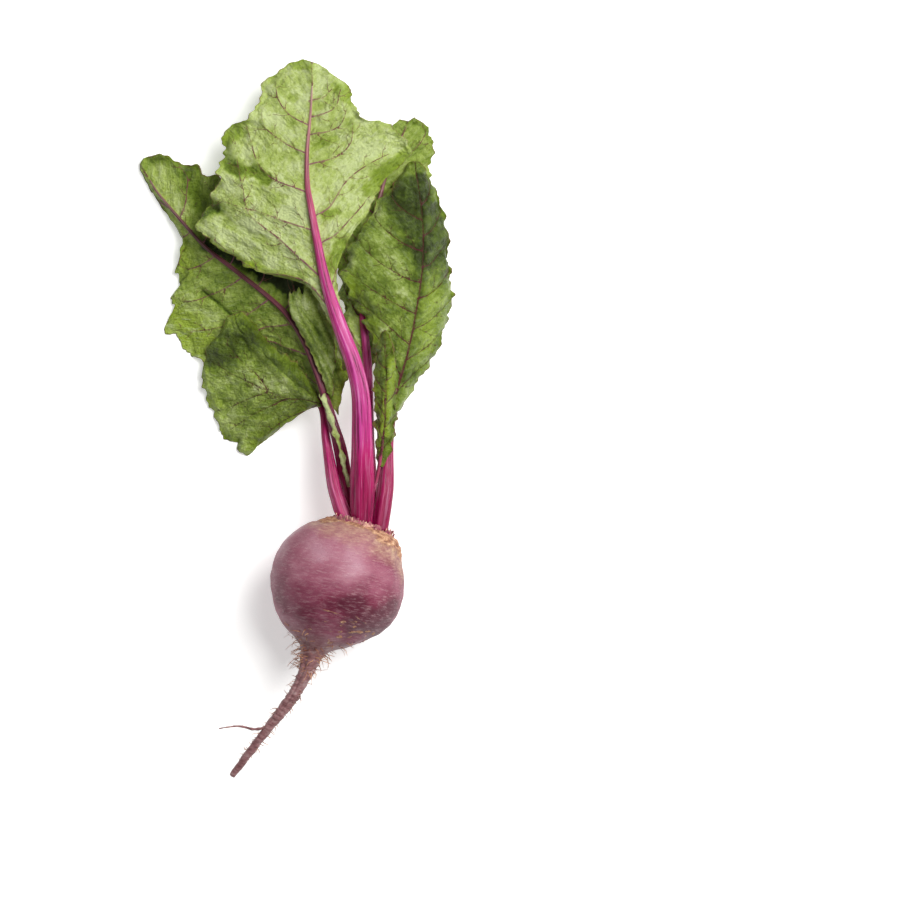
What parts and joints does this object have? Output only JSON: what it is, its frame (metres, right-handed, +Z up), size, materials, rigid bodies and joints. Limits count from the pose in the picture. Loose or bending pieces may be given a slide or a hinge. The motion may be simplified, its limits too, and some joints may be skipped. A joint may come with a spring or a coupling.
{
  "type": "beetroot",
  "caption": "Freshly pulled beetroot lying on its side: round purple bulb with taproot and rootlets, magenta stems and wavy veined leaves.",
  "frame": {"origin": "centre of the whole beetroot's box, on the surface it lies on", "axes": "+Y from the taproot towards the leaf tips, +X to the right of that seen from above, +Z up from the surface"},
  "size_m": [0.1536, 0.35, 0.0638],
  "materials": {
    "beet_skin": "matte",
    "stem_skin": "satin",
    "leaf_green": "matte"
  },
  "bodies": {
    "root": {"beet_root": "beet_skin", "front_stem": "stem_skin", "front_leaf": "leaf_green", "long_stem": "stem_skin", "long_leaf": "leaf_green", "low_stem": "stem_skin", "low_leaf": "leaf_green", "right_stem": "stem_skin", "right_leaf": "leaf_green", "back_stem": "stem_skin", "back_leaf": "leaf_green", "inner_stem": "stem_skin", "inner_leaf": "leaf_green"}
  },
  "joints": []
}
